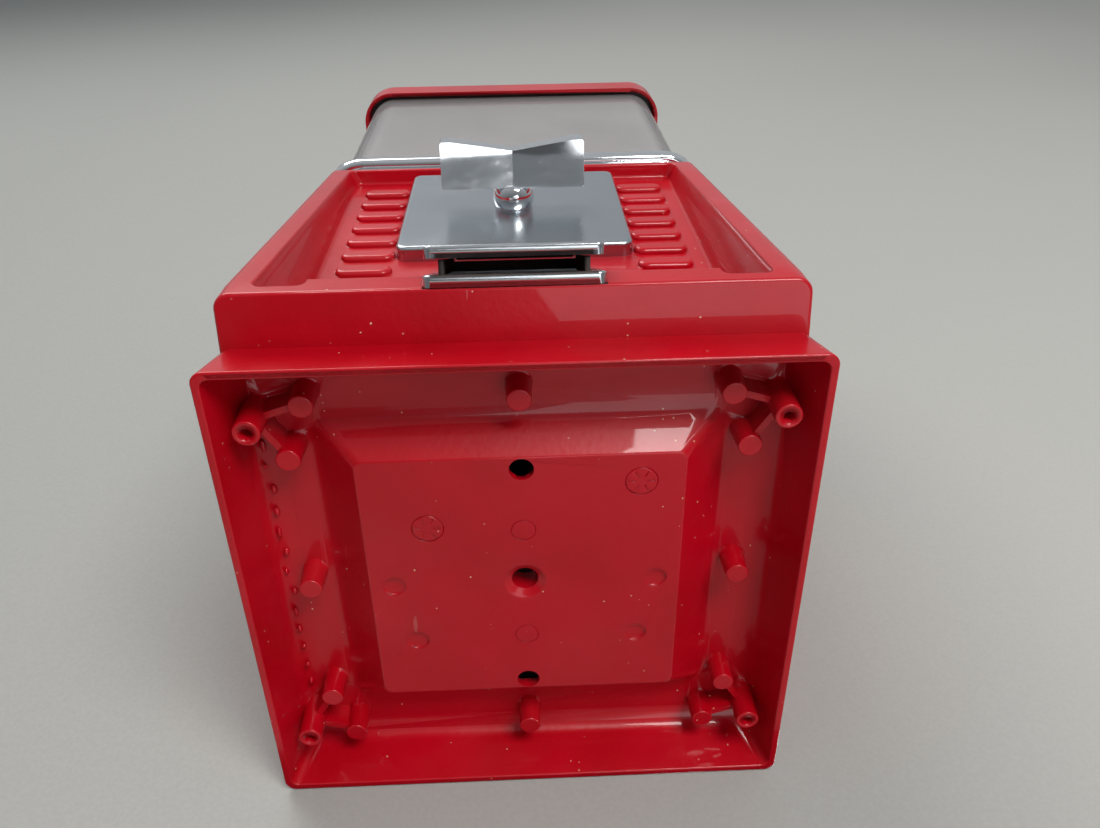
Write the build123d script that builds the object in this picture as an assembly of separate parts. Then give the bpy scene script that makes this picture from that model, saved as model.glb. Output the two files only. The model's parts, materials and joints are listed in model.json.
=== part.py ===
from build123d import *
import os
from math import atan2, cos, degrees, pi, radians, sin, sqrt, tan

# Counter-top capsule toy machine with a square globe, in millimetres.
# Pieces are modelled about the middle of the base rim, front towards -Y, and
# moved together at the end so that the origin is under the middle of the box.

# ---- driving dimensions ------------------------------------------------------
base_w, base_d = 184.0, 178.0          # base rim, outside
skirt_h = 18.0                         # height of the flared skirt under the body
skirt_top_w, skirt_top_d = 177.0, 175.0
body_hw_low, body_hw_top = 88.0, 82.0  # half width of the body, foot and head
body_top = 183.0
back_low, back_top = 87.0, 81.0        # back face of the body, foot and head
lip_y, lip_z0, lip_z1 = -103.4, 20.5, 29.4
cheek_top_y = -90.0                    # front edge of the cheeks at the head
panel_y = -84.0                        # recessed front panel
wall = 2.5
head_y = -3.0                          # middle of the wheel, globe, ring and lid

plate_w = 86.0                         # coin mechanism face plate
plate_z0 = 89.0
plate_t = 5.6
shaft_z = plate_z0 + plate_w / 2

wheel_r = 69.5
wheel_z0, wheel_z1 = 146.0, 172.0
pocket_count, pocket_r, pocket_pcr = 6, 18.0, 44.0
pinion_teeth, turn_ratio = 8, 6        # handle turns for one turn of the wheel
crown_r = 67.0                         # mean radius of the crown teeth
pinion_r = crown_r / turn_ratio        # pitch radius of the pinion
tooth_up, tooth_down = 1.7, 2.3        # above and below the pitch line

globe_hw, globe_wall, globe_r = 82.0, 3.0, 14.0
globe_z0, globe_z1 = body_top + 2.5, 341.0
ring_hw, ring_r = 87.0, 18.0
lid_hw, lid_r = 86.0, 17.0
lid_z0, lid_z1 = 334.0, 354.0
rod_r = 4.0

door_tilt = 21.6                       # lean of the chute front, from upright
chute_y, chute_z = -107.0, 21.7        # foot of the chute frame's front face
handle_y0, handle_y1 = -116.0, -98.1  # wing handle, front and back

back_edge = base_d / 2
y_shift = -(handle_y0 + back_edge) / 2  # centres the box from handle to back


# ---- small helpers -----------------------------------------------------------
def save(name, shape):
    shape = Pos(0, y_shift, 0) * shape
    shape.label = name
    export_step(shape, f"parts/{name}.step")


def block(x0, x1, y0, y1, z0, z1):
    size = Box(x1 - x0, y1 - y0, z1 - z0)
    return Pos((x0 + x1) / 2, (y0 + y1) / 2, (z0 + z1) / 2) * size


def post(x, y, r, z0, z1):
    return Pos(x, y, (z0 + z1) / 2) * Cylinder(r, z1 - z0)


def taper_post(x, y, r0, z0, r1, z1):
    return Pos(x, y, (z0 + z1) / 2) * Cone(r0, r1, z1 - z0)


def rod_y(x, z, r, y0, y1):
    return Pos(x, (y0 + y1) / 2, z) * Rot(90, 0, 0) * Cylinder(r, y1 - y0)


def rod_x(y, z, r, x0, x1):
    return Pos((x0 + x1) / 2, y, z) * Rot(0, 90, 0) * Cylinder(r, x1 - x0)


def square_bar(hw, r, z0, z1, hd=None):
    # an upright bar of rounded square section about the head's middle
    section = RectangleRounded(2 * hw, 2 * (hd or hw), r)
    return Pos(0, head_y, z0) * extrude(section, z1 - z0)


def frustum(w0, d0, y0, z0, w1, d1, y1, z1, r):
    low = Pos(0, y0, z0) * RectangleRounded(w0, d0, r)
    high = Pos(0, y1, z1) * RectangleRounded(w1, d1, r)
    return loft([low, high])


def soften(shape, radius, wanted):
    # rounds the edges for which wanted(edge) is true
    return fillet(shape.edges().filter_by(wanted), radius)


def corners(x, y):
    return [(sx * x, sy * y) for sx in (-1, 1) for sy in (-1, 1)]


def screw(x, y, z_seat, r, length, head_r, head_h):
    # pan-head screw pointing down, its head resting on z_seat
    head = post(x, y, head_r, z_seat, z_seat + head_h)
    head = fillet(head.edges().group_by(Axis.Z)[-1], head_h * 0.4)
    slot = block(x - head_r, x + head_r, y - 0.5, y + 0.5, z_seat + head_h - 0.9, z_seat + head_h + 1)
    return head - slot + post(x, y, r, z_seat - length, z_seat)


def group(shapes):
    return Compound(list(shapes))


# ---- base --------------------------------------------------------------------
gutter_z = 21.0                        # underside of the gutter floor
floor_z = 24.0                         # top of the base floor
mesa_z = 10.0                          # lowest face of the raised middle
mesa_w, mesa_d = 104.0, 101.0
mesa_root_w, mesa_root_d = 131.0, 122.0
boss_x, boss_y = 80.5, 66.0            # four screw bosses for feet
foot_hole_r = 1.8
near_posts = corners(65.0, 71.0)
side_posts = corners(71.5, 52.0)
mid_posts = [(0, -71.0), (0, 71.0), (-72.0, 0), (72.0, 0)]
pedestal_hole_y = 46.0
pedestal_hole_r = 4.0
pedestal_bore_r = 4.5
pedestal_boss_z = 20.0


def make_base_pan():
    skirt = frustum(base_w, base_d, 0, 0, skirt_top_w, skirt_top_d, 0.5, skirt_h, 4)
    spigot = Pos(0, 1.5, skirt_h) * extrude(RectangleRounded(169, 165, 3), floor_z - skirt_h)
    hollow = frustum(
        base_w - 2 * wall, base_d - 2 * wall, 0, 0, base_w - 18, base_d - 14.5, 0.5, gutter_z, 3
    )
    pan = soften(skirt - hollow, 0.6, lambda e: e.center().Z < 0.01)
    pan += spigot - hollow
    mesa = frustum(mesa_w, mesa_d, 0, mesa_z, mesa_root_w, mesa_root_d, 0, gutter_z + 0.5, 3)
    pan += soften(mesa, 1.2, lambda e: e.center().Z < mesa_z + 0.01)
    pan -= frustum(
        mesa_w - 4, mesa_d - 4, 0, mesa_z + wall, mesa_root_w - 1, mesa_root_d - 1, 0, floor_z, 2
    )
    for x, y in corners(boss_x, boss_y):
        boss = taper_post(x, y, 4.2, 4.0, 4.6, gutter_z + 0.2)
        pan += soften(boss, 0.5, lambda e: e.center().Z < 4.1)
        rib_ends = [(sx * px, sy * py) for sx, sy in [(x / abs(x), y / abs(y))]
                    for px, py in ((65.0, 71.0), (71.5, 52.0))]
        for px, py in rib_ends:
            length = sqrt((px - x) ** 2 + (py - y) ** 2)
            rib = Rot(0, 0, degrees(atan2(py - y, px - x))) * Box(length, 2.2, gutter_z - 11)
            pan += Pos((x + px) / 2, (y + py) / 2, (gutter_z + 13) / 2) * rib
    for x, y in near_posts + side_posts + mid_posts:
        pan += soften(taper_post(x, y, 3.8, 10.0, 4.4, gutter_z + 1), 0.5, lambda e: e.center().Z < 10.1)
    for x, y in corners(boss_x, boss_y):
        pan -= post(x, y, foot_hole_r, 0, 15.0)
    for x, y in side_posts:
        pan -= post(x, y, 1.7, 12.5, floor_z + 1)
    pan += post(0, 0, 9.0, mesa_z + 1, pedestal_boss_z)
    pan -= post(0, 0, pedestal_bore_r, 0, floor_z)
    pan -= taper_post(0, 0, 7.7, mesa_z, pedestal_bore_r, mesa_z + 2.0)
    for sy in (-1, 1):
        pan -= post(0, sy * pedestal_hole_y, pedestal_hole_r, 0, floor_z)
    for x, y in ((-44, 0), (44, 0), (-38, 25), (38, 25)):
        pan -= post(x, y, 4.0, mesa_z - 1, mesa_z + 1.0)
    for x, y in ((0, -22), (0, 24)):
        pan -= post(x, y, 4.2, mesa_z - 1, mesa_z + 0.3) - post(x, y, 3.8, mesa_z - 1, mesa_z + 1)
    for x, y in ((38, -40), (-31, -24)):
        pan -= post(x, y, 5.4, mesa_z - 1, mesa_z + 0.3) - post(x, y, 5.0, mesa_z - 1, mesa_z + 1)
        for i in range(6):
            tick = Rot(0, 0, 60 * i) * Pos(3.1, 0, 0) * Box(2.6, 0.4, 0.6)
            pan -= Pos(x, y, mesa_z) * tick
    return pan


# ---- body --------------------------------------------------------------------
lug_low, lug_top = 155.0, body_top - 4.8   # lugs under the hopper floor
def side_profile(points, half_x):
    face = make_face(Plane.YZ * Polyline(*points, close=True))
    return extrude(face, half_x, both=True)


def front_profile(hw0, z0, hw1, z1, y0, y1):
    outline = Polyline((-hw0, z0), (hw0, z0), (hw1, z1), (-hw1, z1), close=True)
    face = make_face(Plane.XZ * outline)
    return Pos(0, y1, 0) * extrude(face, y1 - y0)


recess_floor_z = 31.6
well_floor_z = 27.0                    # the recess dips beside the cheeks
well_x = 62.0
panel_hw, recess_hw = 69.0, 80.5       # half width at the panel and at y -110
recess_top = 180.5
mech_hole_hw = 35.5
stud_places = corners(39.0, 39.0)
chute_hw = 22.0
rib_x0, rib_x1, rib_z0, rib_pitch = 43.5, 63.5, 52.0, 14.0
rib_w, rib_h = 7.6, 2.2
rib_count = 9


def chute_place():
    return Pos(0, chute_y, chute_z) * Rot(-door_tilt, 0, 0)


def pocket(x_front, hw_front, x_back, hw_back, floor):
    # a drafted pocket from in front of the lip back to the panel
    mid, height = (floor + recess_top) / 2, recess_top - floor
    return loft([
        Plane.XZ.offset(110) * Pos(x_front, mid) * RectangleRounded(2 * hw_front, height + 3, 3),
        Plane.XZ.offset(-panel_y) * Pos(x_back, mid) * RectangleRounded(2 * hw_back, height, 3),
    ])


def on_recess_mouth(edge):
    at = edge.center()
    return at.Y < -87 and abs(at.X) < 78.5 and 26 < at.Z < body_top - 1 and abs(edge.tangent_at(0.5).Y) < 0.5


def make_body_shell():
    outer = side_profile(
        [(back_low, skirt_h), (-86.7, skirt_h), (lip_y, lip_z0),
         (lip_y, lip_z1), (cheek_top_y, body_top), (back_top, body_top)], 100)
    outer &= front_profile(body_hw_low, skirt_h, body_hw_top, body_top, -120, 100)
    outer = soften(outer, 5.0, lambda e: abs(e.center().X) > 80 and abs(e.tangent_at(0.5).Y) < 0.5)
    outer = soften(outer, 1.2, lambda e: e.center().Y < -95 and e.center().Z < 35)
    recess = pocket(0, recess_hw, 0, panel_hw, recess_floor_z)
    for side in (-1, 1):
        middle, half = side * (well_x + recess_hw) / 2, (recess_hw - well_x) / 2
        back, back_half = side * (well_x + panel_hw) / 2, (panel_hw - well_x) / 2
        recess += pocket(middle, half, back, back_half, well_floor_z)
    shell = soften(outer - recess, 0.8, on_recess_mouth)
    shell = soften(shell, 1.5, lambda e: abs(e.center().Y - panel_y) < 0.1)
    shell -= Pos(0, 0, 0) * side_profile(
        [(back_low - wall, skirt_h - 1), (panel_y + wall, skirt_h - 1), (panel_y + wall, body_top + 1),
         (back_top - wall, body_top + 1)], 100) & front_profile(
        body_hw_low - wall, skirt_h - 1, body_hw_top - wall, body_top + 1, -120, 100)
    rib = extrude(SlotOverall(rib_x1 - rib_x0, rib_w), rib_h)
    rib = fillet(rib.edges().group_by(Axis.Z)[-1], rib_h - 0.5)
    for side in (-1, 1):
        for i in range(rib_count):
            z = rib_z0 + i * rib_pitch
            place = Pos(side * (rib_x0 + rib_x1) / 2, panel_y + 0.2, z) * Rot(90, 0, 0)
            shell += place * rib
    shell -= block(-mech_hole_hw, mech_hole_hw, panel_y - 5, panel_y + 5, plate_z0 + 5, plate_z0 + 80)
    half = frame_w / 2 + 0.2
    shell -= chute_place() * block(-half, half, -20, frame_t + 0.2, -0.2, frame_h + 0.2)
    shell -= block(-chute_hw, chute_hw, -103, -78, 33.0, 72.0)
    for x, z in stud_places:
        shell -= rod_y(x, shaft_z + z, 2.15, panel_y - 3, panel_y + 5)
    for x, y in side_posts:
        sx = 1 if x > 0 else -1
        x_far = sx * (body_hw_low - 1.5)
        lug = block(min(x - sx * 6, x_far), max(x - sx * 6, x_far), y - 6, y + 6, floor_z, floor_z + 4)
        shell += lug - post(x, y, 2.3, floor_z - 1, floor_z + 5)
    for x, y in corners(68.0, 64.0):
        shell += block(x - 7, x + 7, y - 7 + head_y, y + 7 + head_y, lug_low, lug_top) & front_profile(
            body_hw_low - 1, skirt_h, body_hw_top - 1, body_top, -82, 80)
        sx, sy = (1 if x > 0 else -1), (1 if y > 0 else -1)
        bridge = block(min(x, sx * 82), max(x, sx * 82), y - 7 + head_y, y + 7 + head_y, lug_low + 8, lug_top)
        shell += bridge & front_profile(body_hw_low - 1, skirt_h, body_hw_top - 1, body_top, -90, 80)
        shell -= post(x, y + head_y, 1.7, lug_low + 4, lug_top + 1)
    return shell


# ---- coin mechanism ------------------------------------------------------------
mech_back = -64.0
carrier_r = 27.0


def make_face_plate():
    section = Rectangle(plate_w, plate_w)
    slab = extrude(section, plate_t)
    slab = fillet(slab.edges().filter_by(Axis.Z), 4.0)
    slab = fillet(slab.edges().group_by(Axis.Z)[-1], 1.5)
    plate = Pos(0, panel_y, shaft_z) * Rot(90, 0, 0) * slab
    plate -= rod_y(0, shaft_z, 6.95, panel_y - 10, panel_y + 1)
    # coin slot at the top left of the shaft, a narrow upright mouth
    plate -= block(-1.4, 1.4, panel_y - 10, panel_y + 1, shaft_z + 13, shaft_z + 38)
    for x, z in stud_places:
        plate -= rod_y(x, shaft_z + z, 2.1, panel_y - 2.6, panel_y + 1)
    return plate


def make_mech_housing():
    box = block(-35, 35, panel_y, mech_back, plate_z0 + 6, 135)
    box += block(-35, 35, panel_y, -78.3, 135, plate_z0 + 79)
    box -= block(-32.5, 32.5, panel_y - 1, mech_back - 2.5, plate_z0 + 8.5, plate_z0 + 76.5)
    box += block(-12, 12, mech_back - 2.5, mech_back, 130, 140)
    box -= rod_y(0, shaft_z, 4.05, mech_back - 5, mech_back + 1)
    # slot in the floor for coins
    box -= block(-34, -6, -80.0, -70.0, plate_z0 + 5, plate_z0 + 9)
    return box


def make_coin_carrier():
    disc = rod_y(0, shaft_z, carrier_r, -82.0, -78.5)
    disc -= rod_y(0, shaft_z, 4.0, -90, -70)
    pocket = block(-12.2, 12.2, -84, -80.2, shaft_z + 6, shaft_z + 40)
    pocket += rod_y(0, shaft_z + 14, 12.2, -84, -80.2)
    return disc - pocket


def make_ratchet():
    r0, r1, teeth = 13.5, 16.0, 12
    points = []
    for i in range(teeth):
        a = 2 * pi * i / teeth
        points.append((r1 * cos(a), r1 * sin(a)))
        points.append((r0 * cos(a + 0.08), r0 * sin(a + 0.08)))
    disc = extrude(make_face(Polyline(*points, close=True)), 2.4)
    disc -= Cylinder(4.0, 10)
    return Pos(0, -75.5, shaft_z) * Rot(90, 0, 0) * disc


pawl_x, pawl_z = -19.5, shaft_z - 17.0


def make_pawl():
    tip = (Pos(6.0, 4.2) * Circle(1.1)).edges()
    arm = extrude(make_hull(Circle(3.6).edges() + tip), 2.4) - Cylinder(1.55, 10)
    return Pos(pawl_x, -75.5, pawl_z) * Rot(90, 0, 0) * arm


def make_pawl_pin():
    return rod_y(pawl_x, pawl_z, 1.5, -78.3, mech_back - 2.5)


def make_pawl_spring():
    coil = block(pawl_x - 0.7, pawl_x + 0.7, -74.8, -70.0, pawl_z - 3.5, pawl_z - 2.5)
    for i in range(4):
        coil += Pos(pawl_x, -74.4 + 1.3 * i, pawl_z) * Rot(90, 0, 0) * Torus(3.0, 0.5)
    return coil


pinion_y0, pinion_y1 = -73.0, -67.0


def tooth_outline(half_pitch, half_tip, low, high):
    return [(-half_pitch, low), (-half_tip, high), (half_tip, high), (half_pitch, low)]


def make_drive_pinion():
    root_r, tip_r = pinion_r - tooth_down, pinion_r + tooth_up
    gear = Cylinder(root_r, pinion_y1 - pinion_y0)
    tooth = make_face(Polyline(*tooth_outline(2.0, 0.8, root_r - 1.0, tip_r), close=True))
    tooth = extrude(tooth, (pinion_y1 - pinion_y0) / 2, both=True)
    for i in range(pinion_teeth):
        gear += Rot(0, 0, 360 / pinion_teeth * (i + 0.5)) * tooth
    gear -= Cylinder(4.0, 20)
    return Pos(0, (pinion_y0 + pinion_y1) / 2, shaft_z) * Rot(90, 0, 0) * gear


def make_handle_shaft():
    shaft = rod_y(0, shaft_z, 4.0, handle_y1, -59.0)
    return shaft


def make_shaft_collar():
    front, back = handle_y1, panel_y
    collar = rod_y(0, shaft_z, 6.1, front, -91.5)
    bulge = Pos(0, -93.4, shaft_z) * Sphere(8.0)
    bulge &= block(-10, 10, front, -89.9, shaft_z - 10, shaft_z + 10)
    collar = collar + bulge + rod_y(0, shaft_z, 6.9, -91.5, back)
    return collar - rod_y(0, shaft_z, 4.0, front - 1, back + 1)


def make_wing_handle():
    hw, notch = 27.5, 4.0
    outline = Polyline(
        (0, handle_y0 + notch), (hw - 4, handle_y0), (hw, handle_y0), (hw, handle_y1 - 0.5),
        (8, handle_y1), (-8, handle_y1), (-hw, handle_y1 - 0.5), (-hw, handle_y0),
        (-hw + 4, handle_y0), close=True)
    bar = extrude(make_face(outline), 7.2, both=True)
    bar = fillet(bar.edges().filter_by(Axis.Z).filter_by(lambda e: abs(e.center().X) > hw - 1), 1.0)
    waist, tip, draft = 5.1, 6.8, 9.0      # half thickness at the back edge, and its thinning
    for side in (-1, 1):
        wedge = Polyline((0, side * waist), (hw + 2, side * tip), (hw + 2, side * 12),
                         (-hw - 2, side * 12), (-hw - 2, side * tip), close=True)
        cutter = extrude(Plane.XZ * make_face(wedge), 40, both=True)
        bar -= Pos(0, handle_y1, 0) * Rot(side * draft, 0, 0) * cutter
    bar = Pos(0, 0, shaft_z) * bar
    return bar


def make_shaft_nut():
    nut = extrude(RegularPolygon(6.5, 6), 3.5) - Cylinder(4.0, 20)
    return Pos(0, -59.5, shaft_z) * Rot(90, 0, 0) * nut


# ---- product wheel and hopper ----------------------------------------------------
seat_z0, seat_z1 = 136.0, 139.0
well_r = 72.0
drop_angle = 90.0
drop_x = pocket_pcr * cos(radians(drop_angle))
drop_y = head_y + pocket_pcr * sin(radians(drop_angle))


def make_product_wheel():
    wheel = post(0, 0, wheel_r, wheel_z0, wheel_z1) - post(0, 0, 6.0, 130, 180)
    for i in range(pocket_count):
        a = radians(30 + 360 / pocket_count * i)
        wheel -= post(pocket_pcr * cos(a), pocket_pcr * sin(a), pocket_r, 130, 180)
    pitch_z = shaft_z + pinion_r
    crown_teeth = pinion_teeth * turn_ratio
    tooth = make_face(Polyline(
        (-1.9, wheel_z0 + 0.5), (-1.9, pitch_z + tooth_down), (-0.9, pitch_z - tooth_up),
        (0.9, pitch_z - tooth_up), (1.9, pitch_z + tooth_down), (1.9, wheel_z0 + 0.5), close=True))
    tooth = Rot(90, 0, 0) * extrude(tooth, 4.4)
    tooth = Pos(0, -(wheel_r - 4.4 - 0.2), 0) * tooth
    for i in range(crown_teeth):
        wheel += Rot(0, 0, 360 / crown_teeth * i) * tooth
    return Pos(0, head_y, 0) * wheel


def make_wheel_seat():
    seat = post(0, head_y, well_r + 2.5, seat_z0, body_top) - post(0, head_y, well_r, seat_z1, 200)
    top = Pos(0, head_y, lug_top) * extrude(RectangleRounded(155, 154, 4), body_top - lug_top)
    seat += top - post(0, head_y, well_r, 170, 200)
    seat -= post(drop_x, drop_y, pocket_r + 0.5, 130, 140)
    seat -= post(0, head_y, 4.05, 130, 140)
    seat -= block(-18, 18, head_y - 90, head_y - 53, 130, 150)
    for x, y in corners(68.0, 64.0):
        seat -= post(x, y + head_y, 1.75, lug_top - 1, 190)
        seat -= post(x, y + head_y, 3.4, body_top - 2.4, 190)
    return seat


def make_wheel_bush():
    bush = post(0, head_y, 5.95, seat_z1, wheel_z1 + 1.0) + post(0, head_y, 10.0, seat_z1, wheel_z0 - 0.1)
    return bush - post(0, head_y, rod_r, 130, 190)


def make_wheel_cap():
    cap = post(0, head_y, 12.0, wheel_z1 + 1.0, wheel_z1 + 5.0)
    cap += taper_post(0, head_y, 9.0, wheel_z1 + 5.0, 6.0, wheel_z1 + 13.0)
    return cap - post(0, head_y, rod_r, 130, 200)


def make_drop_cover():
    cover = post(drop_x, drop_y, 23.0, 176.0, 178.5)
    cover += block(-9, 9, drop_y, drop_y + 40, 176.0, 178.5)
    return cover & post(0, head_y, well_r - 0.05, 170, 190)


def make_brush():
    bar = block(-13, 13, -2.5, 2.5, wheel_z1 + 0.6, 176.0)
    return Pos(0, head_y, 0) * Rot(0, 0, drop_angle + 28) * Pos(pocket_pcr, 0, 0) * bar


def make_centre_rod():
    rod = post(0, head_y, rod_r, 126.0, 344.0)
    rod += post(0, head_y, 3.0, 344.0, 347.0)
    return rod


def make_rod_keeper():
    return block(-4, 4, head_y - 7.4, head_y + 7.4, 347.0, 349.5)


def make_rod_nut():
    nut = extrude(RegularPolygon(7.5, 6), 5.0)
    nut = Pos(0, head_y, seat_z0 - 6.5) * nut + post(0, head_y, 9.0, seat_z0 - 1.5, seat_z0)
    return nut - post(0, head_y, rod_r, 120, 140)


# ---- chute --------------------------------------------------------------------
frame_w, frame_h, frame_t = 54.0, 57.0, 3.7
neck, neck_hw, neck_wall = 4.4, 22.2, 1.6   # side walls between the frame and the flap
door_w, door_t = 53.0, 3.8
hinge_up, hinge_out = 52.0, 6.3        # hinge pin, along and out of the chute front


def make_chute_frame():
    flange = extrude(Rectangle(frame_w, frame_h), frame_t)
    flange = fillet(flange.edges().filter_by(Axis.Z), 2.5)
    flange = fillet(flange.edges().group_by(Axis.Z)[-1], 0.8)
    frame = Pos(0, frame_t, frame_h / 2) * Rot(90, 0, 0) * flange
    for side in (-1, 1):
        x0, x1 = sorted((side * (neck_hw - neck_wall), side * neck_hw))
        frame += block(x0, x1, -neck, 1, 2.4, 49.0)
        frame += block(x0, x1, -hinge_out - 2.6, 1, 48.0, 55.0)
    inner = neck_hw - neck_wall - 0.1
    frame -= block(-inner, inner, -20, 30, 9.0, 46.0)
    frame -= rod_x(-hinge_out, hinge_up, 1.5, -40, 40)
    return chute_place() * frame


def make_chute_door():
    back = -neck - 0.3
    leaf_h, knuckle_hw = 44.0, neck_hw - neck_wall - 0.6
    leaf = extrude(Rectangle(door_w, leaf_h), door_t)
    leaf = fillet(leaf.edges().filter_by(Axis.Z), 2.2)
    leaf = fillet(leaf.edges().group_by(Axis.Z)[-1], 1.0)
    door = Pos(0, back, 1.6 + leaf_h / 2) * Rot(90, 0, 0) * leaf
    door += block(-knuckle_hw, knuckle_hw, back - door_t + 1, back, 43, hinge_up)
    door += rod_x(-hinge_out, hinge_up, 2.5, -knuckle_hw, knuckle_hw)
    door -= rod_x(-hinge_out, hinge_up, 1.55, -40, 40)
    return chute_place() * door


def make_hinge_pin():
    return chute_place() * rod_x(-hinge_out, hinge_up, 1.5, -neck_hw - 0.4, neck_hw + 0.4)


def make_inner_chute():
    slope = tan(radians(25))
    y0, y1, y2 = -76.8, drop_y - 20.5, drop_y + 20.5
    low, high, top = 33.4, 74.0, seat_z0 - 0.1

    def duct(inset, half_x, reach):
        # reach runs the hollow past both open ends
        ya, yb, yc = y0 - reach, y1 + inset, y2 - inset
        return side_profile([
            (ya, low + inset + (ya - y0) * slope), (yc, low + inset + (yc - y0) * slope),
            (yc, top + reach), (yb, top + reach), (yb, high - inset + (yb - y0) * slope),
            (ya, high - inset + (ya - y0) * slope)], half_x)
    return duct(0, 23.5, 0) - duct(1.5, 22.0, 2)


def make_coin_slide():
    slope = degrees(atan2(24, 70))
    tray = block(-13, 13, 0, 74, 0, 8) - block(-11.5, 11.5, -1, 80, 1.5, 20)
    return Pos(-42, -72, 84) * Rot(-slope, 0, 0) * tray


def make_cash_box():
    box = block(-64, 64, -12, 78, floor_z + 0.2, 60)
    return box - block(-62, 62, -10, 76, floor_z + 2.2, 70)


# ---- globe, ring and lid -----------------------------------------------------
def make_lower_gasket():
    return square_bar(globe_hw + 0.4, globe_r, body_top, globe_z0) - square_bar(
        globe_hw - 5, globe_r - 5, body_top - 1, globe_z0 + 1)


def make_globe():
    return square_bar(globe_hw, globe_r, globe_z0, globe_z1) - square_bar(
        globe_hw - globe_wall, globe_r - globe_wall, globe_z0 - 1, globe_z1 + 1)


def make_trim_ring():
    low, bead_z, top = body_top, 196.5, 204.0
    ring = loft([
        Pos(0, head_y, low) * RectangleRounded(2 * ring_hw - 3, 2 * ring_hw - 3, ring_r),
        Pos(0, head_y, bead_z) * RectangleRounded(2 * ring_hw - 6, 2 * ring_hw - 6, ring_r),
    ])
    bead = square_bar(ring_hw, ring_r, bead_z, top)
    bead = fillet(bead.edges().group_by(Axis.Z)[-1] + bead.edges().group_by(Axis.Z)[0], 3.0)
    ring += bead
    return ring - square_bar(globe_hw + 0.5, globe_r, low - 1, top + 1)


def make_upper_gasket():
    return square_bar(globe_hw + 1.2, globe_r, globe_z1, globe_z1 + 2.0) - square_bar(
        globe_hw - 4.5, globe_r - 4, globe_z1 - 1, globe_z1 + 3)


def make_lid():
    lid = square_bar(lid_hw, lid_r, lid_z0, lid_z1)
    lid = fillet(lid.edges().group_by(Axis.Z)[-1], 5.0)
    lid -= square_bar(lid_hw - 2.2, lid_r - 2.2, lid_z0 - 1, globe_z1 + 2.0)
    lid -= square_bar(lid_hw - 8, lid_r - 7, lid_z0 - 1, lid_z1 - 2.5)
    lid += post(0, head_y, 17.5, 340.0, lid_z1)
    lid -= post(0, head_y, 14.1, 330.0, 360.0)
    return lid


def make_lock_housing():
    ring = post(0, head_y, 14.1, 350.5, 360.0) + post(0, head_y, 19.0, lid_z1, 357.0)
    ring = fillet(ring.edges().group_by(Axis.Z)[-1], 1.2)
    return ring - post(0, head_y, 8.8, 340, 370)


def make_lock_cylinder():
    plug = post(0, head_y, 8.75, 350.5, 360.6)
    plug = fillet(plug.edges().group_by(Axis.Z)[-1], 0.6)
    plug -= block(-0.9, 0.9, head_y - 4.2, head_y + 4.2, 356.0, 362.0)
    return plug


def make_lock_cam():
    cup = post(0, head_y, 13.0, 342.5, 350.5) - post(0, head_y, 8.8, 340.0, 350.0)
    for side in (-1, 1):
        x0, x1 = sorted((side * 5.0, side * 9.5))
        cup += block(x0, x1, head_y - 2.5, head_y + 2.5, 342.5, 346.5)
    return cup


# ---- fasteners ----------------------------------------------------------------
def make_body_screws():
    return group([screw(x, y, floor_z + 4, 1.65, 12.0, 3.6, 2.4) for x, y in side_posts])


def make_seat_screws():
    return group([screw(x, y + head_y, body_top - 2.4, 1.65, 16.0, 3.2, 2.2) for x, y in corners(68.0, 64.0)])


def make_mech_studs():
    studs = []
    nut = extrude(RegularPolygon(3.9, 6), 3.0)
    for x, z in stud_places:
        stud = rod_y(x, shaft_z + z, 2.1, panel_y - 2.6, panel_y + wall + 5)
        studs.append(stud + Pos(x, panel_y + wall + 3.0, shaft_z + z) * Rot(90, 0, 0) * nut)
    return group(studs)


os.makedirs("parts", exist_ok=True)
save("base_pan", make_base_pan())
save("body_shell", make_body_shell())
save("mech_face_plate", make_face_plate())
save("mech_housing", make_mech_housing())
save("coin_carrier", make_coin_carrier())
save("ratchet_disc", make_ratchet())
save("ratchet_pawl", make_pawl())
save("pawl_pin", make_pawl_pin())
save("pawl_spring", make_pawl_spring())
save("drive_pinion", make_drive_pinion())
save("handle_shaft", make_handle_shaft())
save("shaft_collar", make_shaft_collar())
save("wing_handle", make_wing_handle())
save("shaft_nut", make_shaft_nut())
save("product_wheel", make_product_wheel())
save("wheel_seat", make_wheel_seat())
save("wheel_bush", make_wheel_bush())
save("wheel_cap", make_wheel_cap())
save("drop_cover", make_drop_cover())
save("brush", make_brush())
save("centre_rod", make_centre_rod())
save("rod_keeper", make_rod_keeper())
save("rod_nut", make_rod_nut())
save("chute_frame", make_chute_frame())
save("chute_door", make_chute_door())
save("door_hinge_pin", make_hinge_pin())
save("inner_chute", make_inner_chute())
save("coin_slide", make_coin_slide())
save("cash_box", make_cash_box())
save("lower_gasket", make_lower_gasket())
save("globe", make_globe())
save("trim_ring", make_trim_ring())
save("upper_gasket", make_upper_gasket())
save("lid", make_lid())
save("lock_housing", make_lock_housing())
save("lock_cylinder", make_lock_cylinder())
save("lock_cam", make_lock_cam())
save("body_screws", make_body_screws())
save("seat_screws", make_seat_screws())
save("mech_studs", make_mech_studs())
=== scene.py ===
import json
from math import cos, radians, sin

import bmesh
import bpy
from mathutils import Matrix, Vector


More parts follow.
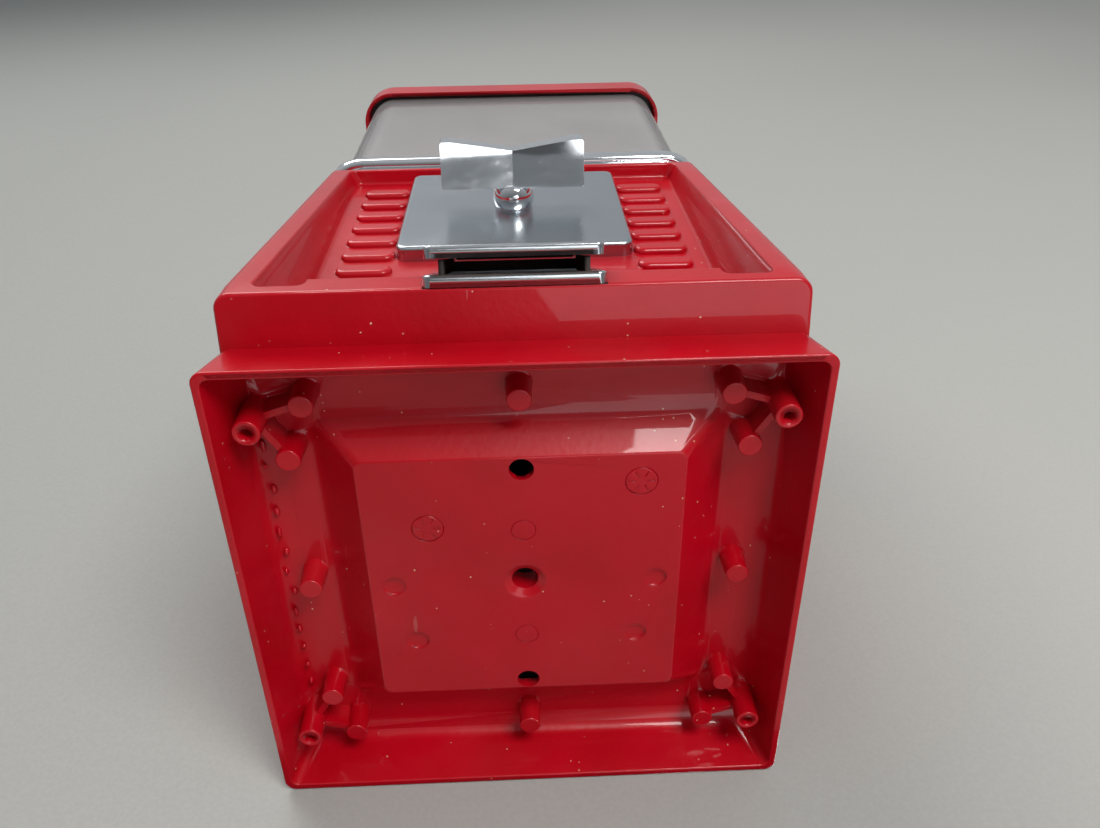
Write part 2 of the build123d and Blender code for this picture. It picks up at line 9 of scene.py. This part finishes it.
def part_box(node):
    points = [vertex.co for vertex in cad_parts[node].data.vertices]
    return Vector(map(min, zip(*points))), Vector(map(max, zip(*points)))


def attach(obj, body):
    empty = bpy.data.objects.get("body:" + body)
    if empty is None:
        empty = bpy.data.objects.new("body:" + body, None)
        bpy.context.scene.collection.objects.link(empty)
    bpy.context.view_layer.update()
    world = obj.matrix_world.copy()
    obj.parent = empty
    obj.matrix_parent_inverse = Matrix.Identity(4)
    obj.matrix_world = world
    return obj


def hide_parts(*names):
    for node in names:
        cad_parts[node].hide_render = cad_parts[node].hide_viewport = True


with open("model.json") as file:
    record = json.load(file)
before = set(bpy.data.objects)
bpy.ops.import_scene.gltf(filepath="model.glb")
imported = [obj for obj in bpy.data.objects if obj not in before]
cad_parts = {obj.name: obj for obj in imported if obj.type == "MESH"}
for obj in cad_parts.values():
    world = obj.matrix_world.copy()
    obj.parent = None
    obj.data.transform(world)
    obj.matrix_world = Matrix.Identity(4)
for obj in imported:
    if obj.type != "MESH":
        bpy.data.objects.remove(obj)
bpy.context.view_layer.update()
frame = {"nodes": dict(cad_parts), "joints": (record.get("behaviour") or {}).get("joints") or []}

# Camera and studio. The machine is shown lying on its back on a grey sweep of paper, its open
# base towards a low camera; the paper is a wall behind it when the machine stands up.
# A soft box, a window, a ceiling lamp, a back lamp and a pale surround light it.
def add_node(tree, kind, settings=None, values=None):
    # a new node: its settings first, then a value or a link for each socket
    made = tree.nodes.new(kind)
    for setting, value in (settings or {}).items():
        setattr(made, setting, value)
    for socket, value in (values or {}).items():
        if isinstance(value, bpy.types.NodeSocket):
            tree.links.new(value, made.inputs[socket])
        else:
            made.inputs[socket].default_value = value
    return made


studio = bpy.data.worlds.new("studio")
bpy.context.scene.world = studio
studio.use_nodes = True
surround = studio.node_tree.nodes["Background"]
surround.inputs["Color"].default_value = (0.80, 0.83, 0.86, 1)
sky = studio.node_tree
heading = add_node(sky, "ShaderNodeTexCoord")
facing_up = add_node(sky, "ShaderNodeVectorMath", {"operation": "DOT_PRODUCT"},
                     {0: heading.outputs["Generated"], 1: (0, -0.80, 0.60)})
dimmed = add_node(sky, "ShaderNodeMapRange", {}, {
    "Value": facing_up.outputs["Value"], "From Min": -0.75, "From Max": 0.6,
    "To Min": 0.03, "To Max": 0.52})
sky.links.new(dimmed.outputs["Result"], surround.inputs["Strength"])
bpy.context.scene.view_settings.view_transform = "Standard"

lens = bpy.data.cameras.new("camera")
lens.sensor_width, lens.lens = 36, 36 * 950 / 1100
camera = bpy.data.objects.new("camera", lens)
bpy.context.scene.collection.objects.link(camera)
right = Vector((0.99912, 0.01282, -0.03998))
down = Vector((-0.03173, 0.85414, -0.51907))
ahead = Vector((0.0275, 0.51988, 0.8538))
turn = Matrix((right, -down, -ahead)).transposed().to_4x4()
camera.matrix_world = Matrix.Translation((0.00134, -0.20145, -0.23462)) @ turn
bpy.context.scene.camera = camera


def lamp(name, place, target, size, power, colour=(1, 1, 1), height=None):
    light = bpy.data.lights.new(name, "AREA")
    light.shape = "RECTANGLE"
    light.size, light.size_y, light.energy, light.color = size, height or size, power, colour
    holder = bpy.data.objects.new(name, light)
    bpy.context.scene.collection.objects.link(holder)
    aim = (Vector(target) - Vector(place)).to_track_quat("-Z", "Y").to_matrix().to_4x4()
    holder.matrix_world = Matrix.Translation(place) @ aim


lamp("soft_box", (0.52, -1.36, -0.66), (0, 0, 0.1), 0.62, 20, (1.0, 0.98, 0.96), 0.55)
lamp("window", (0.37, -0.12, -1.30), (0, 0, 0.1), 0.78, 4.6, (0.94, 0.97, 1.0), 0.8)
lamp("ceiling", (-0.7, -1.3, 1.2), (0, 0, 0.15), 1.0, 22, (1.0, 0.98, 0.96))
lamp("back_fill", (0.7, 1.6, 1.3), (0, 0, 0.15), 1.0, 24)


class Wire:
    """A socket in a material, so that a formula on it adds its Math nodes."""

    def __init__(self, finish, socket):
        self.finish, self.socket = finish, socket

    def maths(self, operation, *values):
        return self.finish.node("ShaderNodeMath", {"operation": operation}, dict(enumerate(values)))

    def __add__(self, other):
        return self.maths("ADD", self, other)

    def __sub__(self, other):
        return self.maths("SUBTRACT", self, other)

    def __rsub__(self, other):
        return self.maths("SUBTRACT", other, self)

    def __mul__(self, other):
        return self.maths("MULTIPLY", self, other)

    def __gt__(self, other):
        return self.maths("GREATER_THAN", self, other)

    def __lt__(self, other):
        return self.maths("LESS_THAN", self, other)

    __radd__, __rmul__ = __add__, __mul__


class Finish:
    """One surface finish: a material, its main shader and the nodes that vary it."""

    def __init__(self, name):
        self.material = bpy.data.materials.new(name)
        self.material.use_nodes = True
        self.tree = self.material.node_tree
        self.shader = self.tree.nodes["Principled BSDF"]
        self.place = self.node("ShaderNodeTexCoord", out="Object")

    def node(self, kind, settings=None, values=None, out=0):
        plain = {name: getattr(value, "socket", value) for name, value in (values or {}).items()}
        return Wire(self, add_node(self.tree, kind, settings, plain).outputs[out])

    def set(self, **values):
        for name, value in values.items():
            socket = self.shader.inputs[name.replace("_", " ")]
            if isinstance(value, Wire):
                self.tree.links.new(value.socket, socket)
            else:
                socket.default_value = value

    def over(self, behind, amount):
        # lays the main shader over another one, by amount
        mixed = self.node("ShaderNodeMixShader", {},
                          {0: amount, 1: behind, 2: Wire(self, self.shader.outputs[0])})
        self.tree.links.new(mixed.socket, self.tree.nodes["Material Output"].inputs["Surface"])

    def noise(self, size, detail=2.0, stretch=(1, 1, 1), seed=0.0):
        # a grey pattern whose blotches are about size metres across
        spot = self.node("ShaderNodeMapping", {}, {"Vector": self.place, "Location": (seed, seed, 0),
                                                   "Scale": stretch})
        return self.node("ShaderNodeTexNoise", {},
                         {"Vector": spot, "Scale": 1 / size, "Detail": detail}, "Fac")

    def mask(self, source, low, high):
        return self.node("ShaderNodeMapRange", {"clamp": True},
                         {"Value": source, "From Min": low, "From Max": high})

    def blend(self, amount, first, second):
        return self.node("ShaderNodeMix", {"data_type": "RGBA"}, {0: amount, 6: first, 7: second}, 2)

    def bump(self, height, distance, strength):
        return self.node("ShaderNodeBump", {},
                         {"Height": height, "Distance": distance, "Strength": strength})


def flat_sheet(name, corners, finish):
    mesh = bpy.data.meshes.new(name)
    mesh.from_pydata(corners, [], [(0, 1, 2, 3)])
    mesh.materials.append(finish.material)
    sheet = bpy.data.objects.new(name, mesh)
    bpy.context.scene.collection.objects.link(sheet)
    return sheet


def one_sided(finish, seen_by):
    # shows only the sheet's front, and lets every other ray through
    front = 1 - finish.node("ShaderNodeNewGeometry", out="Backfacing")
    finish.over(finish.node("ShaderNodeBsdfTransparent"), front * seen_by)


paper = Finish("grey_paper")
cloud = paper.mask(paper.noise(0.9, 2.0), 0.35, 0.65)
weave = paper.noise(0.0016, 4.0)
spread = paper.node("ShaderNodeSeparateXYZ", {}, {"Vector": paper.place}, "X")
height = paper.node("ShaderNodeSeparateXYZ", {}, {"Vector": paper.place}, "Z")
# painted light and shade on the paper: it is painted lighter towards +X and darker high up towards -X,
# as the light falls across it
painted_light_side = paper.mask(spread, -0.5, 0.7)
painted_shade_corner = paper.mask(height, 0.5, 2.0) * paper.mask(0.3 - spread, 0.0, 1.1)
paper_grey_and_painted_light = paper.blend(painted_light_side, (0.27, 0.275, 0.26, 1), (0.42, 0.42, 0.395, 1))
paper_grey_and_painted_light = paper.blend(painted_shade_corner * 0.65, paper_grey_and_painted_light, (0.17, 0.18, 0.18, 1))
paper_grey_and_painted_light = paper.blend(cloud * 0.12, paper_grey_and_painted_light, (0.22, 0.23, 0.23, 1))
paper.set(Base_Color=paper.blend(paper.mask(weave, 0.3, 0.7) * 0.08, paper_grey_and_painted_light, (0.6, 0.6, 0.58, 1)),
          Roughness=0.85, Normal=paper.bump(weave, 0.0002, 0.4))
ray = paper.node("ShaderNodeLightPath", out="Ray Length")
camera_ray = paper.node("ShaderNodeLightPath", out="Is Camera Ray")
one_sided(paper, camera_ray.maths("MAXIMUM", camera_ray, ray > 0.03))
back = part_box("base_pan")[1][1] + 0.0004
reach, foot, head = 4, -0.62, 6
sweep = flat_sheet("paper_sweep", [(-reach, back, foot), (reach, back, foot),
                                   (reach, back, head), (-reach, back, head)], paper)
sweep.visible_shadow = False
counter = Finish("counter_paper")
counter.set(Base_Color=counter.blend(counter.mask(counter.noise(0.7), 0.3, 0.7), (0.44, 0.445, 0.43, 1),
                                     (0.50, 0.505, 0.49, 1)), Roughness=0.8)
one_sided(counter, counter.node("ShaderNodeLightPath", out="Is Camera Ray"))
near_edge, far_edge = -5, 5
under = flat_sheet("counter", [(-reach, near_edge, 0), (reach, near_edge, 0),
                               (reach, far_edge, 0), (-reach, far_edge, 0)], counter)
for ray_kind in ("visible_diffuse", "visible_glossy", "visible_transmission", "visible_shadow"):
    setattr(under, ray_kind, False)

# Base pan: the die-cast foot of the machine, red stove paint inside and out. Its skirt, raised
# middle, four screw bosses and ejector stubs are one casting, with a row of flash beads left
# along one gutter and two blank date roundels in the middle.


def finished(node, name, body, finish, sharp=32, edge=0.0):
    """A machined or moulded piece: its merged mesh, shaded smooth, with its edges broken."""
    mesh = frame["nodes"][node].data.copy()
    mesh.name = name
    shape = bmesh.new()
    shape.from_mesh(mesh)
    bmesh.ops.remove_doubles(shape, verts=shape.verts, dist=2e-6)
    if edge:
        bmesh.ops.dissolve_limit(shape, angle_limit=radians(0.5), verts=shape.verts, edges=shape.edges)
    shape.to_mesh(mesh)
    shape.free()
    mesh.materials.clear()
    mesh.materials.append(finish.material)
    mesh.shade_smooth()
    mesh.set_sharp_from_angle(angle=radians(sharp))
    piece = bpy.data.objects.new(name, mesh)
    bpy.context.scene.collection.objects.link(piece)
    if edge:
        rounding = piece.modifiers.new("edges", "BEVEL")
        rounding.width, rounding.segments, rounding.limit_method = edge, 2, "ANGLE"
        rounding.angle_limit, rounding.harden_normals = radians(sharp), True
    else:
        evened = piece.modifiers.new("shading", "WEIGHTED_NORMAL")
        evened.keep_sharp = True
    settle(piece)
    seat_piece(piece, body)
    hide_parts(node)
    return piece


def settle(piece):
    # turns a piece's modifiers into plain mesh
    graph = bpy.context.evaluated_depsgraph_get()
    made = bpy.data.meshes.new_from_object(piece.evaluated_get(graph))
    piece.modifiers.clear()
    piece.data = made
    made.name = piece.name


def seat_piece(piece, body):
    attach(piece, body)


paint = Finish("red_stove_paint")
orange_peel = paint.noise(0.0022, 2.0)
sag = paint.noise(0.035, 2.0)
grime = paint.mask(paint.noise(0.05, 6.0, seed=3.0), 0.48, 0.72)
motes = paint.node("ShaderNodeTexVoronoi", {}, {"Vector": paint.place, "Scale": 330.0}, "Distance")
mote_kind = paint.node("ShaderNodeTexVoronoi", {}, {"Vector": paint.place, "Scale": 330.0}, "Color")
rare = paint.node("ShaderNodeSeparateColor", {}, {"Color": mote_kind}, "Red")
dust = (motes < 0.075 + 0.05 * paint.noise(0.004)) * (rare > 0.84)
dust = dust * paint.mask(paint.noise(0.03, 3.0, seed=9.0), 0.42, 0.6)
lint = paint.noise(0.0035, 5.0, (1, 0.09, 1), 5.0) > 0.74
deep, fresh = (0.375, 0.0004, 0.006, 1), (0.43, 0.0006, 0.009, 1)
red = paint.blend(paint.mask(sag, 0.35, 0.65), deep, fresh)
red = paint.blend(grime * 0.05, red, (0.30, 0.09, 0.07, 1))
red = paint.blend(dust * 0.75, red, (0.80, 0.66, 0.42, 1))
red = paint.blend(lint * 0.10, red, (0.7, 0.5, 0.45, 1))
paint.set(Base_Color=red, Roughness=0.30 + grime * 0.16 + dust * 0.4, Coat_Weight=0.35,
          Coat_Roughness=0.03, Specular_IOR_Level=0.22,
          Normal=paint.bump(orange_peel * 0.5 + sag * 2.0, 0.00022, 0.55))

finished("base_pan", "painted_base", "machine", paint)


def new_pattern(name, sizes):
    # an empty Geometry Nodes tree with one named input for each size
    tree = bpy.data.node_groups.new(name, "GeometryNodeTree")
    tree.interface.new_socket("Geometry", in_out="INPUT", socket_type="NodeSocketGeometry")
    for label, kind in sizes.items():
        tree.interface.new_socket(label, in_out="INPUT", socket_type=kind)
    tree.interface.new_socket("Geometry", in_out="OUTPUT", socket_type="NodeSocketGeometry")
    return tree, tree.nodes.new("NodeGroupInput"), tree.nodes.new("NodeGroupOutput")


def grow(name, start, tree, values, body):
    # runs a pattern on a start mesh and keeps the result as one plain piece
    piece = bpy.data.objects.new(name, start)
    bpy.context.scene.collection.objects.link(piece)
    maker = piece.modifiers.new("pattern", "NODES")
    maker.node_group = tree
    sockets = {item.name: item.identifier for item in tree.interface.items_tree
               if item.in_out == "INPUT"}
    for label, value in values.items():
        maker[sockets[label]] = value
    settle(piece)
    seat_piece(piece, body)
    return piece


def points_mesh(name, places):
    mesh = bpy.data.meshes.new(name)
    mesh.from_pydata(places, [], [])
    return mesh


# the flash beads along the foot of one gutter
beads, given, result = new_pattern("flash_beads", {
    "Bead Radius": "NodeSocketFloat", "Wander": "NodeSocketFloat", "Seed": "NodeSocketInt",
    "Finish": "NodeSocketMaterial"})
shift = add_node(beads, "FunctionNodeRandomValue", {"data_type": "FLOAT_VECTOR"},
                 {0: (-1, -1, -1), 1: (1, 1, 1), "Seed": given.outputs["Seed"]})
drift = add_node(beads, "ShaderNodeVectorMath", {"operation": "SCALE"},
                 {0: shift.outputs[0], "Scale": given.outputs["Wander"]})
moved = add_node(beads, "GeometryNodeSetPosition", {}, {
    "Geometry": given.outputs["Geometry"], "Offset": drift.outputs[0]})
lump = add_node(beads, "GeometryNodeMeshIcoSphere", {}, {
    "Radius": given.outputs["Bead Radius"], "Subdivisions": 2})
growth = add_node(beads, "FunctionNodeRandomValue", {"data_type": "FLOAT_VECTOR"},
                  {0: (0.6, 0.8, 0.6), 1: (1.1, 2.2, 1.2), "Seed": given.outputs["Seed"]})
set_out = add_node(beads, "GeometryNodeInstanceOnPoints", {}, {
    "Points": moved.outputs[0], "Instance": lump.outputs["Mesh"], "Scale": growth.outputs[0]})
real = add_node(beads, "GeometryNodeRealizeInstances", {}, {0: set_out.outputs[0]})
smooth = add_node(beads, "GeometryNodeSetShadeSmooth", {}, {0: real.outputs[0]})
painted = add_node(beads, "GeometryNodeSetMaterial", {}, {
    "Geometry": smooth.outputs[0], "Material": given.outputs["Finish"]})
beads.links.new(painted.outputs[0], result.inputs[0])
low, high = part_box("base_pan")
middle_y = (low[1] + high[1]) / 2
gutter_x, gutter_z, first_bead, bead_pitch, bead_count = -0.0815, 0.0203, -0.052, 0.0088, 13
bead_row = [(gutter_x + 0.0003 * (i % 3), middle_y + first_bead + bead_pitch * i, gutter_z)
            for i in range(bead_count)]
grow("gutter_beads", points_mesh("gutter_beads", bead_row), beads,
     {"Bead Radius": 0.0011, "Wander": 0.0006, "Seed": 4, "Finish": paint.material},
     "machine")

# Body shell: the red die-cast housing, with a framed recess in front and ribs beside the coin
# mechanism. It sits on the base pan's spigot. Behind the chute frame its faces are given a near-black
# painted shade.
# painted shade: a near-black finish with a random mottle, laid where only shade falls inside the chute
# passage
casting = Finish("painted_shade_inner_face")
shade_mottle = casting.mask(casting.noise(0.006, 5.0), 0.35, 0.7)
casting.set(Base_Color=casting.blend(shade_mottle, (0.018, 0.012, 0.012, 1), (0.05, 0.035, 0.03, 1)),
            Roughness=0.45 + shade_mottle * 0.2, Normal=casting.bump(casting.noise(0.0008, 3.0), 0.00008, 0.6))
shell = finished("body_shell", "painted_body", "machine", paint)
shell.data.materials.append(casting.material)
passage_low, passage_high = Vector((-0.0275, -0.095, 0.0185)), Vector((0.0275, -0.063, 0.0765))
chute_foot, lean, notch_depth = Vector((0, -0.0935, 0.0217)), radians(21.6), 0.0034
recess_floor, floor_band = 0.0316, 0.0009
outward = Vector((0, -cos(lean), sin(lean)))
# faces inside the chute passage, behind the notch and off the recess floor, take the painted shade
for face in shell.data.polygons:
    spots = [shell.data.vertices[i].co for i in face.vertices]
    inside_box = all(passage_low[k] < spot[k] < passage_high[k] for spot in spots for k in range(3))
    behind = all(outward.dot(spot - chute_foot) < -notch_depth for spot in spots)
    on_floor = all(abs(spot.z - recess_floor) < floor_band for spot in spots)
    if inside_box and behind and not on_floor:
        face.material_index = 1

# Screws and studs: zinc-plated steel, slotted pan heads in the base floor and the wheel seat,
# and four studs that hold the coin mechanism's face plate from behind.
plated = Finish("zinc_plated_steel")
lathe = plated.noise(0.0012, 3.0, (1, 1, 5))
tarnish = plated.mask(plated.noise(0.012, 5.0), 0.4, 0.7)
plated.set(Base_Color=plated.blend(tarnish, (0.66, 0.67, 0.66, 1), (0.46, 0.46, 0.43, 1)), Metallic=1.0,
           Roughness=0.22 + lathe * 0.16 + tarnish * 0.12, Normal=plated.bump(lathe, 0.00006, 0.4))
for node, name in (("body_screws", "base_fixing_screws"), ("seat_screws", "seat_fixing_screws"),
                   ("mech_studs", "mechanism_studs")):
    finished(node, name, "machine", plated)

# Coin mechanism: a zinc casting behind the face plate, with the coin carrier, ratchet, pawl,
# spring, pinion and shaft that the wing handle turns.
zinc = Finish("cast_zinc")
grain = zinc.noise(0.0009, 4.0)
stain = zinc.mask(zinc.noise(0.01, 5.0), 0.35, 0.7)
zinc.set(Base_Color=zinc.blend(stain, (0.52, 0.53, 0.54, 1), (0.36, 0.36, 0.36, 1)), Metallic=0.9,
         Roughness=0.36 + stain * 0.2, Normal=zinc.bump(grain, 0.00012, 0.7))
for node, name, body in (("mech_housing", "mechanism_casting", "machine"),
                         ("coin_carrier", "coin_carrier_disc", "handle"),
                         ("ratchet_disc", "ratchet_wheel", "handle"),
                         ("ratchet_pawl", "swing_pawl", "pawl"),
                         ("drive_pinion", "pinion_gear", "handle"),
                         ("coin_slide", "coin_ramp", "machine")):
    finished(node, name, body, zinc, edge=0.00012)
for node, name, body in (("handle_shaft", "turned_shaft", "handle"),
                         ("shaft_nut", "hex_nut", "handle"),
                         ("pawl_pin", "pivot_pin", "machine"),
                         ("pawl_spring", "torsion_spring", "machine")):
    finished(node, name, body, plated)

# Face plate: a square zinc casting with rounded corners and one upright coin slot, chrome
# plated and a little hazed, held by four studs from behind.
chrome = Finish("bright_chrome")
ripple = chrome.noise(0.018, 1.5)
smear = chrome.mask(chrome.noise(0.02, 6.0, seed=2.0), 0.45, 0.75)
pits = chrome.noise(0.0006, 2.0) > 0.79
chrome.set(Base_Color=chrome.blend(smear * 0.25 + pits * 0.4, (0.80, 0.82, 0.84, 1),
                                   (0.60, 0.62, 0.63, 1)),
           Metallic=1.0, Roughness=0.05 + smear * 0.06 + pits * 0.25,
           Normal=chrome.bump(ripple, 0.0004, 0.25))
haze = Finish("hazed_chrome")
cloudy = haze.mask(haze.noise(0.03, 6.0, seed=1.0), 0.3, 0.75)
speck = haze.noise(0.0005, 2.0) > 0.76
wipe = haze.noise(0.002, 4.0, (1, 1, 0.06), 7.0)
haze.set(Base_Color=haze.blend(cloudy * 0.45 + speck * 0.35, (0.50, 0.54, 0.575, 1),
                               (0.40, 0.43, 0.45, 1)),
         Metallic=1.0, Roughness=0.17 + cloudy * 0.09 + speck * 0.12 + wipe * 0.05,
         Normal=haze.bump(haze.noise(0.02, 2.0) + wipe * 0.05, 0.0005, 0.3))
finished("mech_face_plate", "chromed_face_plate", "machine", haze)

# Wing handle: a chrome-plated cast bar, thinner in front and at the middle, on the end of the
# shaft. A chromed collar fills the space between it and the face plate.
finished("wing_handle", "chromed_wing_handle", "handle", chrome, sharp=3, edge=0.00045)
finished("shaft_collar", "chromed_collar", "handle", chrome)

# Chute frame and flap: chromed pieces at the foot of the recess, with a near-black painted shade on
# their inner faces.
# The flap hangs on a steel pin across the top of the frame and swings out.
edge_wear = Finish("stamped_chrome")
drawn = edge_wear.noise(0.0014, 3.0, (0.05, 1, 1))
scuff = edge_wear.mask(edge_wear.noise(0.008, 6.0), 0.45, 0.75)
edge_wear.set(Base_Color=edge_wear.blend(scuff * 0.35, (0.56, 0.585, 0.61, 1), (0.42, 0.43, 0.43, 1)),
              Metallic=1.0, Roughness=0.13 + scuff * 0.10 + drawn * 0.08,
              Normal=edge_wear.bump(drawn, 0.00008, 0.5))
hinge = Vector(next(j for j in frame["joints"] if j["name"] == "door_swing")["pos_m"])
along = Vector((0, sin(lean), cos(lean)))
chute_lip, frame_reach, flap_reach = -0.004, 0.0226, 0.03
for node, name, body, near, far in (("chute_frame", "flap_frame", "machine", -0.0075, 0.0005),
                                    ("chute_door", "swing_flap", "door", -0.0032, 0.0022)):
    plate = finished(node, name, body, edge_wear)
    plate.data.materials.append(casting.material)
    # the frame's inner faces and the flap's back take the near-black painted shade
    for face in plate.data.polygons:
        depth = outward.dot(face.center - hinge)
        width = frame_reach if body == "machine" else flap_reach
        below = along.dot(face.center - hinge) < chute_lip
        if near < depth < far and abs(face.center.x) < width and below:
            if body == "machine" or face.normal.dot(outward) < -0.5:
                face.material_index = 1
    if node == "chute_frame":
        # the frame's top return behind the hinge: a box in the near-black painted shade, added where
        # only shade falls
        return_x, return_out, return_up = (-0.0205, 0.0205), (-0.0068, -0.0029), (-0.005, 0.0035)
        shade_block = bmesh.new()
        shade_block.from_mesh(plate.data)
        posts = [shade_block.verts.new(hinge + outward * out + along * up + Vector((x, 0, 0)))
                 for x in return_x for out in return_out for up in return_up]
        for ring in ((0, 1, 3, 2), (4, 6, 7, 5), (0, 4, 5, 1),
                     (2, 3, 7, 6), (0, 2, 6, 4), (1, 5, 7, 3)):
            shade_block.faces.new([posts[i] for i in ring]).material_index = 1
        shade_block.normal_update()
        shade_block.to_mesh(plate.data)
        shade_block.free()
finished("door_hinge_pin", "flap_pin", "machine", plated)

# Product wheel: a white moulded disc with six capsule pockets, turned by crown teeth under its
# rim, on a moulded bush over the centre rod, with a cap that holds it down.
white = Finish("white_moulding")
flow = white.noise(0.03, 2.0)
scrape = white.noise(0.0016, 4.0, (1, 0.08, 1)) > 0.72
white.set(Base_Color=white.blend(flow * 0.5 + scrape * 0.3, (0.80, 0.80, 0.77, 1),
                                 (0.66, 0.65, 0.60, 1)),
          Roughness=0.38 + scrape * 0.2, Normal=white.bump(white.noise(0.0007, 3.0), 0.00005, 0.6))
finished("product_wheel", "capsule_wheel", "wheel", white)
finished("wheel_bush", "wheel_bearing", "machine", white)
finished("wheel_cap", "wheel_top_cap", "machine", white)

# Wheel seat, chutes and cash box: grey moulded hopper floor with the drop hole, the inclined
# duct below it, the coin box at the back and the cover over the drop.
grey = Finish("grey_moulding")
texture = grey.noise(0.0008, 3.0)
rub = grey.mask(grey.noise(0.02, 5.0, seed=4.0), 0.5, 0.75)
grey.set(Base_Color=grey.blend(rub, (0.24, 0.24, 0.25, 1), (0.33, 0.33, 0.33, 1)),
         Roughness=0.42 + rub * 0.2, Normal=grey.bump(texture, 0.00008, 0.8))
for node, name in (("wheel_seat", "hopper_floor"), ("inner_chute", "capsule_duct"),
                   ("cash_box", "coin_bin"), ("drop_cover", "drop_hood")):
    finished(node, name, "machine", grey)

# Brush: four rows of black nylon tufts under the drop hood, which sweep capsules back from
# the pocket that is emptying.
nylon = Finish("black_nylon")
strands = nylon.noise(0.0006, 2.0, (1, 1, 0.1))
nylon.set(Base_Color=nylon.blend(strands, (0.012, 0.012, 0.013, 1), (0.045, 0.043, 0.04, 1)),
          Roughness=0.4 + strands * 0.2, Normal=nylon.bump(strands, 0.0001, 0.6))
tufts, given, result = new_pattern("brush_tufts", {
    "Strand Radius": "NodeSocketFloat", "Strand Length": "NodeSocketFloat",
    "Splay": "NodeSocketFloat", "Seed": "NodeSocketInt", "Finish": "NodeSocketMaterial"})
strand = add_node(tufts, "GeometryNodeMeshCone", {}, {
    "Vertices": 6, "Side Segments": 2, "Radius Top": given.outputs["Strand Radius"],
    "Radius Bottom": given.outputs["Strand Radius"], "Depth": given.outputs["Strand Length"]})
tilt = add_node(tufts, "FunctionNodeRandomValue", {"data_type": "FLOAT_VECTOR"},
                {0: (-1, -1, -1), 1: (1, 1, 1), "Seed": given.outputs["Seed"]})
splayed = add_node(tufts, "ShaderNodeVectorMath", {"operation": "SCALE"},
                   {0: tilt.outputs[0], "Scale": given.outputs["Splay"]})
planted = add_node(tufts, "GeometryNodeInstanceOnPoints", {}, {
    "Points": given.outputs["Geometry"], "Instance": strand.outputs["Mesh"],
    "Rotation": splayed.outputs[0]})
real = add_node(tufts, "GeometryNodeRealizeInstances", {}, {0: planted.outputs[0]})
dressed = add_node(tufts, "GeometryNodeSetMaterial", {}, {
    "Geometry": real.outputs[0], "Material": given.outputs["Finish"]})
tufts.links.new(dressed.outputs[0], result.inputs[0])
low, high = (Vector(corner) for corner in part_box("brush"))
length = high.z - low.z - 0.0008
strip = frame["nodes"]["brush"].data
tuft_count, row_count = 46, 4
roots = []
flat = sorted({(round(v.co.x, 5), round(v.co.y, 5)) for v in strip.vertices})
ends = [Vector((x, y, 0)) for x, y in flat]
first = min(ends, key=lambda e: e.x)
far = max(ends, key=lambda e: (e - first).length)
side = max(ends, key=lambda e: abs((far - first).normalized().cross(e - first).z))
other = first + far - side
along_strip, across_strip = side - first, other - first
if along_strip.length < across_strip.length:
    along_strip, across_strip = across_strip, along_strip
for i in range(tuft_count):
    for j in range(row_count):
        u, v = (i + 0.5) / tuft_count, (j + 0.5) / row_count
        spot = first + along_strip * (0.03 + 0.94 * u) + across_strip * (0.15 + 0.7 * v)
        roots.append((spot.x, spot.y, (low.z + high.z) / 2))
bristles = grow("brush_bristles", points_mesh("brush_bristles", roots), tufts,
                {"Strand Radius": 0.00022, "Strand Length": length, "Splay": 0.10, "Seed": 2,
                 "Finish": nylon.material}, "machine")
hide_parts("brush")

# Centre rod, keeper and nut: the plated steel rod that stands up through the globe and takes
# the lock's cam at its top.
for node, name in (("centre_rod", "tie_rod"), ("rod_keeper", "cam_keeper"),
                   ("rod_nut", "rod_clamp_nut")):
    finished(node, name, "machine", plated)

# Globe: a square clear tube of polycarbonate with round corners, between two black rubber
# gaskets, with a wide chromed ring around its foot.
clear = Finish("clear_polycarbonate")
hairline = clear.noise(0.0012, 5.0, (1, 1, 0.05), 4.0)
film = clear.mask(clear.noise(0.05, 5.0), 0.35, 0.75)
clear.set(Base_Color=clear.blend(film, (0.52, 0.50, 0.50, 1), (0.44, 0.42, 0.42, 1)),
          Roughness=0.07 + film * 0.10, Normal=clear.bump(hairline, 0.00004, 0.3))
through = clear.node("ShaderNodeBsdfTransparent", {}, {"Color": (0.95, 0.96, 0.96, 1)})
facing = clear.node("ShaderNodeFresnel", {}, {"IOR": 1.5})
clear.over(through, facing * 0.85 + film * 0.05 + 0.04)
finished("globe", "clear_globe", "machine", clear)
black_rubber = Finish("black_rubber")
bloom = black_rubber.mask(black_rubber.noise(0.01, 4.0), 0.4, 0.7)
black_rubber.set(Base_Color=black_rubber.blend(bloom, (0.018, 0.018, 0.018, 1), (0.05, 0.05, 0.048, 1)),
                 Roughness=0.55 + bloom * 0.2,
                 Normal=black_rubber.bump(black_rubber.noise(0.0006, 3.0), 0.0001, 0.7))
finished("lower_gasket", "lower_rubber_seal", "machine", black_rubber)
finished("upper_gasket", "upper_rubber_seal", "machine", black_rubber)
finished("trim_ring", "chromed_trim_ring", "machine", chrome)

# Lid and lock: the red cast lid drops over the globe and is held by a lock on the rod, whose
# chromed housing stands up in its middle.
finished("lid", "painted_lid", "lid", paint)
finished("lock_housing", "lock_bezel", "lid", chrome)
brass = Finish("machined_brass")
turned = brass.noise(0.0007, 3.0, (1, 1, 0.2))
brass.set(Base_Color=brass.blend(turned, (0.70, 0.56, 0.30, 1), (0.56, 0.43, 0.22, 1)), Metallic=1.0,
          Roughness=0.24 + turned * 0.16, Normal=brass.bump(turned, 0.00006, 0.5))
for node, name in (("lock_cylinder", "key_plug"), ("lock_cam", "lock_tongue")):
    finished(node, name, "lock", brass)
